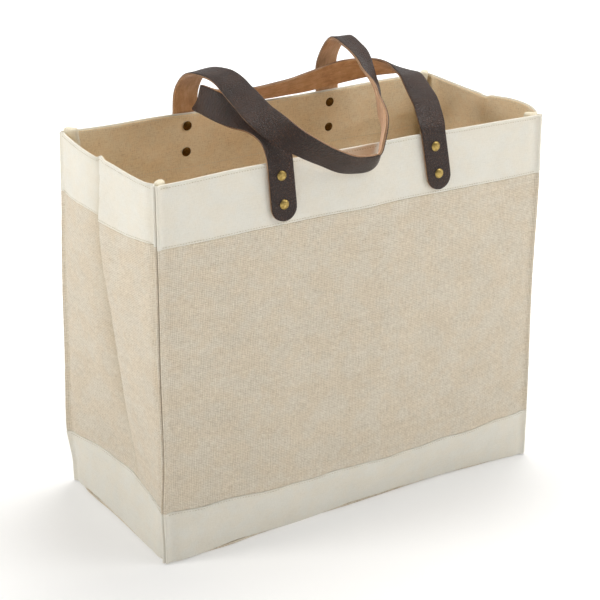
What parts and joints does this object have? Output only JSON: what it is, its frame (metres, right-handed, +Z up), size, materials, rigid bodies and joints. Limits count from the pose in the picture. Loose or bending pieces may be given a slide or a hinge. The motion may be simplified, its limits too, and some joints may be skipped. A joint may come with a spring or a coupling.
{
  "type": "market tote bag",
  "caption": "Open-topped rectangular jute tote with canvas bands top and bottom, tan lining, bound inside corners and two riveted leather strap handles.",
  "frame": {"origin": "middle of the underside of the base, where the bag stands on the floor", "axes": "+X along the bag to the right as seen from the front, +Y from front to back, +Z up"},
  "size_m": [0.416, 0.2127, 0.4076],
  "materials": {
    "jute": "plain-woven natural jute, matt",
    "canvas": "undyed cotton canvas, matt",
    "lining": "slubby tan cloth, matt",
    "binding": "cream bias tape, matt",
    "board": "plain grey-brown board",
    "leather": "dark brown pebbled grain, natural suede on the flesh side",
    "brass": "antique brass, worn"
  },
  "bodies": {
    "bag": {"base_panel": "jute", "base_board": "board", "base_lining": "lining", "front_bottom_band": "canvas", "front_body_panel": "jute", "front_top_band": "canvas", "front_lining": "lining", "back_bottom_band": "canvas", "back_body_panel": "jute", "back_top_band": "canvas", "back_lining": "lining", "left_bottom_band": "canvas", "left_gusset_panel": "jute", "left_top_band": "canvas", "left_lining": "lining", "right_bottom_band": "canvas", "right_gusset_panel": "jute", "right_top_band": "canvas", "right_lining": "lining", "front_left_binding": "binding", "front_right_binding": "binding", "back_left_binding": "binding", "back_right_binding": "binding", "front_handle_left_end": "leather", "front_handle_left_outer_rivets": "brass", "front_handle_left_inner_caps": "brass", "front_handle_right_end": "leather", "front_handle_right_outer_rivets": "brass", "front_handle_right_inner_caps": "brass", "back_handle_left_end": "leather", "back_handle_left_outer_rivets": "brass", "back_handle_left_inner_caps": "brass", "back_handle_right_end": "leather", "back_handle_right_outer_rivets": "brass", "back_handle_right_inner_caps": "brass"},
    "front_handle": {"front_handle_loop": "leather"},
    "back_handle": {"back_handle_loop": "leather"}
  },
  "joints": [
    {"name": "back_handle_lift", "type": "hinge", "parent": "bag", "child": "back_handle", "pos_m": [0, 0.089, 0.35], "axis": [-1, 0, 0], "range_deg": [0, 135]},
    {"name": "front_handle_lift", "type": "hinge", "parent": "bag", "child": "front_handle", "pos_m": [0, -0.089, 0.35], "axis": [1, 0, 0], "range_deg": [0, 47.5]}
  ],
  "couplings": [
    {"joint": "front_handle_lift", "follows": "back_handle_lift", "ratio": 0.35}
  ]
}
